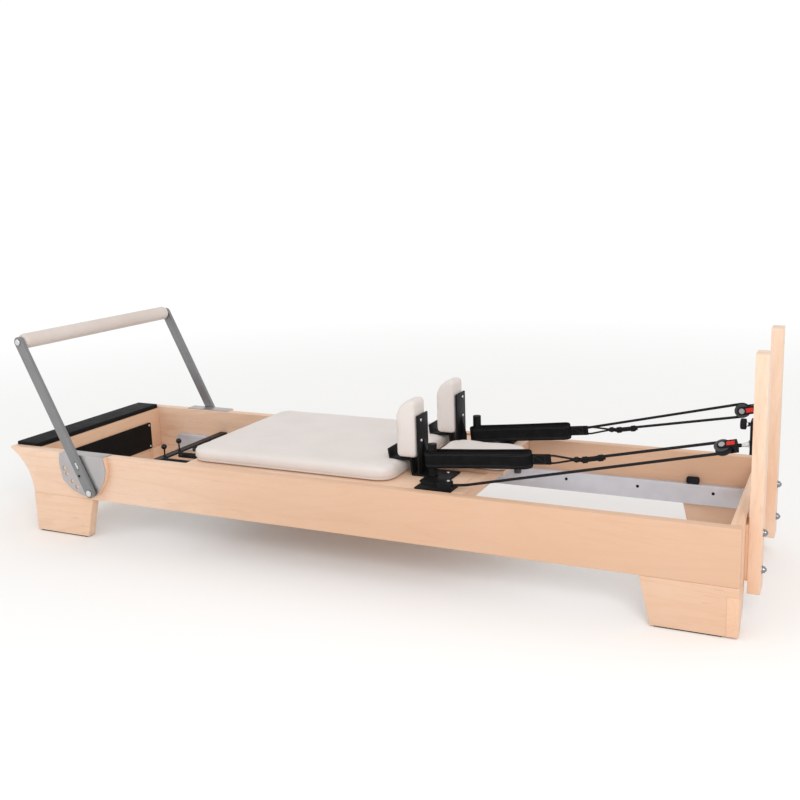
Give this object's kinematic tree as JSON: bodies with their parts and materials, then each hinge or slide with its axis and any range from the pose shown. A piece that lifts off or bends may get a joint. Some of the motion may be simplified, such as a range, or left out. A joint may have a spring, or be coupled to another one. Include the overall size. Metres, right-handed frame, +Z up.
{
  "type": "pilates reformer",
  "caption": "Wooden pilates reformer: sprung padded carriage on aluminium tracks, folding footbar, shoulder rests, headrest, and hand straps on ropes over riser pulleys.",
  "frame": {"origin": "on the floor, under the middle of the whole machine", "axes": "+X from the foot end (footbar) to the head end (risers), +Y to the left for someone at the foot end looking along the machine, +Z up"},
  "size_m": [2.452, 0.747, 0.709],
  "materials": {
    "maple": "satin",
    "black_board": "matte",
    "black_steel": "satin powder coat",
    "zinc_steel": "satin",
    "grey_arm": "satin powder coat",
    "track_alloy": "anodised",
    "vinyl": "soft satin",
    "black_rubber": "matte",
    "spring_steel": "satin",
    "wheel_nylon": "matte",
    "black_plastic": "matte",
    "webbing": "woven",
    "rope": "braided"
  },
  "bodies": {
    "frame": {"foot_end_board": "maple", "foot_end_panel": "black_plastic", "foot_leg_ends": "maple", "foot_leg_sides": "maple", "foot_pads": "black_rubber", "footbar_brackets": "zinc_steel", "footbar_pivots": "zinc_steel", "footbar_spacers": "maple", "head_end_board": "maple", "head_leg_ends": "maple", "head_leg_sides": "maple", "panel_screws": "zinc_steel", "pulley_sliders": "black_steel", "riser_bolts": "zinc_steel", "riser_mount_plates": "maple", "risers": "maple", "side_rails": "maple", "spring_bar": "black_steel", "spring_bar_seats": "track_alloy", "springs": "spring_steel", "standing_platform": "black_board", "stop_bumpers": "black_rubber", "track_screws": "black_steel", "tracks": "track_alloy"},
    "footbar": {"footbar_arms": "grey_arm", "footbar_core": "zinc_steel", "footbar_grip": "vinyl", "footbar_end_bolts": "zinc_steel"},
    "bar_plunger_left": {"bar_plunger_left": "black_plastic"},
    "bar_plunger_right": {"bar_plunger_right": "black_plastic"},
    "carriage": {"carriage_deck": "maple", "carriage_end_boards": "maple", "carriage_rails": "maple", "carriage_cushion": "vinyl", "wheel_brackets": "zinc_steel", "spring_anchor": "black_steel", "headrest_hinge": "zinc_steel", "shoulder_brackets": "black_steel", "shoulder_plates": "black_steel", "shoulder_pads": "vinyl", "shoulder_screws": "zinc_steel", "strap_pegs": "black_plastic", "rope_cleats": "black_plastic", "rope_cams": "black_plastic", "hand_straps": "webbing", "ropes": "rope"},
    "wheels_foot": {"wheels_foot": "wheel_nylon"},
    "wheels_head": {"wheels_head": "wheel_nylon"},
    "guide_roller_foot_left": {"guide_roller_foot_left": "wheel_nylon"},
    "guide_roller_foot_right": {"guide_roller_foot_right": "wheel_nylon"},
    "guide_roller_head_left": {"guide_roller_head_left": "wheel_nylon"},
    "guide_roller_head_right": {"guide_roller_head_right": "wheel_nylon"},
    "headrest": {"headrest_board": "maple", "headrest_pad": "vinyl"},
    "pulley_left": {"pulley_block_left": "black_plastic"},
    "pulley_right": {"pulley_block_right": "black_plastic"},
    "sheave_left": {"sheave_left": "wheel_nylon"},
    "sheave_right": {"sheave_right": "wheel_nylon"},
    "knob_left": {"pulley_knob_left": "black_plastic"},
    "knob_right": {"pulley_knob_right": "black_plastic"}
  },
  "joints": [
    {"name": "carriage_slide", "type": "slide", "parent": "frame", "child": "carriage", "axis": [1, 0, 0], "range_m": [0, 0.529], "stiffness_N_per_m": 400, "springref_m": -0.04, "deforming": ["springs", "ropes", "hand_straps"]},
    {"name": "footbar_hinge", "type": "hinge", "parent": "frame", "child": "footbar", "pos_m": [-0.862, 0, 0.171], "axis": [0, 1, 0], "range_deg": [-64, 41]},
    {"name": "headrest_hinge", "type": "hinge", "parent": "carriage", "child": "headrest", "pos_m": [0.23, 0, 0.2908], "axis": [0, -1, 0], "range_deg": [0, 35]},
    {"name": "plunger_left", "type": "slide", "parent": "frame", "child": "bar_plunger_left", "axis": [0, 0, 1], "range_m": [0, 0.0075], "stiffness_N_per_m": 300, "springref_m": -0.004},
    {"name": "plunger_right", "type": "slide", "parent": "frame", "child": "bar_plunger_right", "axis": [0, 0, 1], "range_m": [0, 0.0075], "stiffness_N_per_m": 300, "springref_m": -0.004},
    {"name": "wheels_foot_spin", "type": "hinge", "parent": "carriage", "child": "wheels_foot", "pos_m": [-0.426, 0, 0.2123], "axis": [0, 1, 0], "continuous": true},
    {"name": "roller_foot_left_spin", "type": "hinge", "parent": "carriage", "child": "guide_roller_foot_left", "pos_m": [-0.426, 0.2707, 0.184], "axis": [0, 0, 1], "continuous": true},
    {"name": "roller_foot_right_spin", "type": "hinge", "parent": "carriage", "child": "guide_roller_foot_right", "pos_m": [-0.426, -0.2707, 0.184], "axis": [0, 0, 1], "continuous": true},
    {"name": "wheels_head_spin", "type": "hinge", "parent": "carriage", "child": "wheels_head", "pos_m": [0.388, 0, 0.2123], "axis": [0, 1, 0], "continuous": true},
    {"name": "roller_head_left_spin", "type": "hinge", "parent": "carriage", "child": "guide_roller_head_left", "pos_m": [0.388, 0.2707, 0.184], "axis": [0, 0, 1], "continuous": true},
    {"name": "roller_head_right_spin", "type": "hinge", "parent": "carriage", "child": "guide_roller_head_right", "pos_m": [0.388, -0.2707, 0.184], "axis": [0, 0, 1], "continuous": true},
    {"name": "pulley_swivel_left", "type": "hinge", "parent": "frame", "child": "pulley_left", "pos_m": [1.107, 0.21, 0.458], "axis": [0.9756, 0, 0.2194], "range_deg": [-20, 20]},
    {"name": "sheave_left_spin", "type": "hinge", "parent": "pulley_left", "child": "sheave_left", "pos_m": [1.107, 0.21, 0.458], "axis": [0, 1, 0], "continuous": true},
    {"name": "pulley_knob_left_turn", "type": "hinge", "parent": "frame", "child": "knob_left", "pos_m": [1.174, 0.2105, 0.524], "axis": [1, 0, 0], "continuous": true},
    {"name": "pulley_swivel_right", "type": "hinge", "parent": "frame", "child": "pulley_right", "pos_m": [1.107, -0.21, 0.458], "axis": [0.9756, 0, 0.2194], "range_deg": [-20, 20]},
    {"name": "sheave_right_spin", "type": "hinge", "parent": "pulley_right", "child": "sheave_right", "pos_m": [1.107, -0.21, 0.458], "axis": [0.1861, 0.5299, -0.8274], "continuous": true},
    {"name": "pulley_knob_right_turn", "type": "hinge", "parent": "frame", "child": "knob_right", "pos_m": [1.174, -0.2105, 0.524], "axis": [1, 0, 0], "continuous": true}
  ],
  "couplings": [
    {"joint": "wheels_foot_spin", "follows": "carriage_slide", "rad_per_m": 50},
    {"joint": "roller_foot_left_spin", "follows": "carriage_slide", "rad_per_m": 83.333},
    {"joint": "roller_foot_right_spin", "follows": "carriage_slide", "rad_per_m": -83.333},
    {"joint": "wheels_head_spin", "follows": "carriage_slide", "rad_per_m": 50},
    {"joint": "roller_head_left_spin", "follows": "carriage_slide", "rad_per_m": 83.333},
    {"joint": "roller_head_right_spin", "follows": "carriage_slide", "rad_per_m": -83.333}
  ]
}
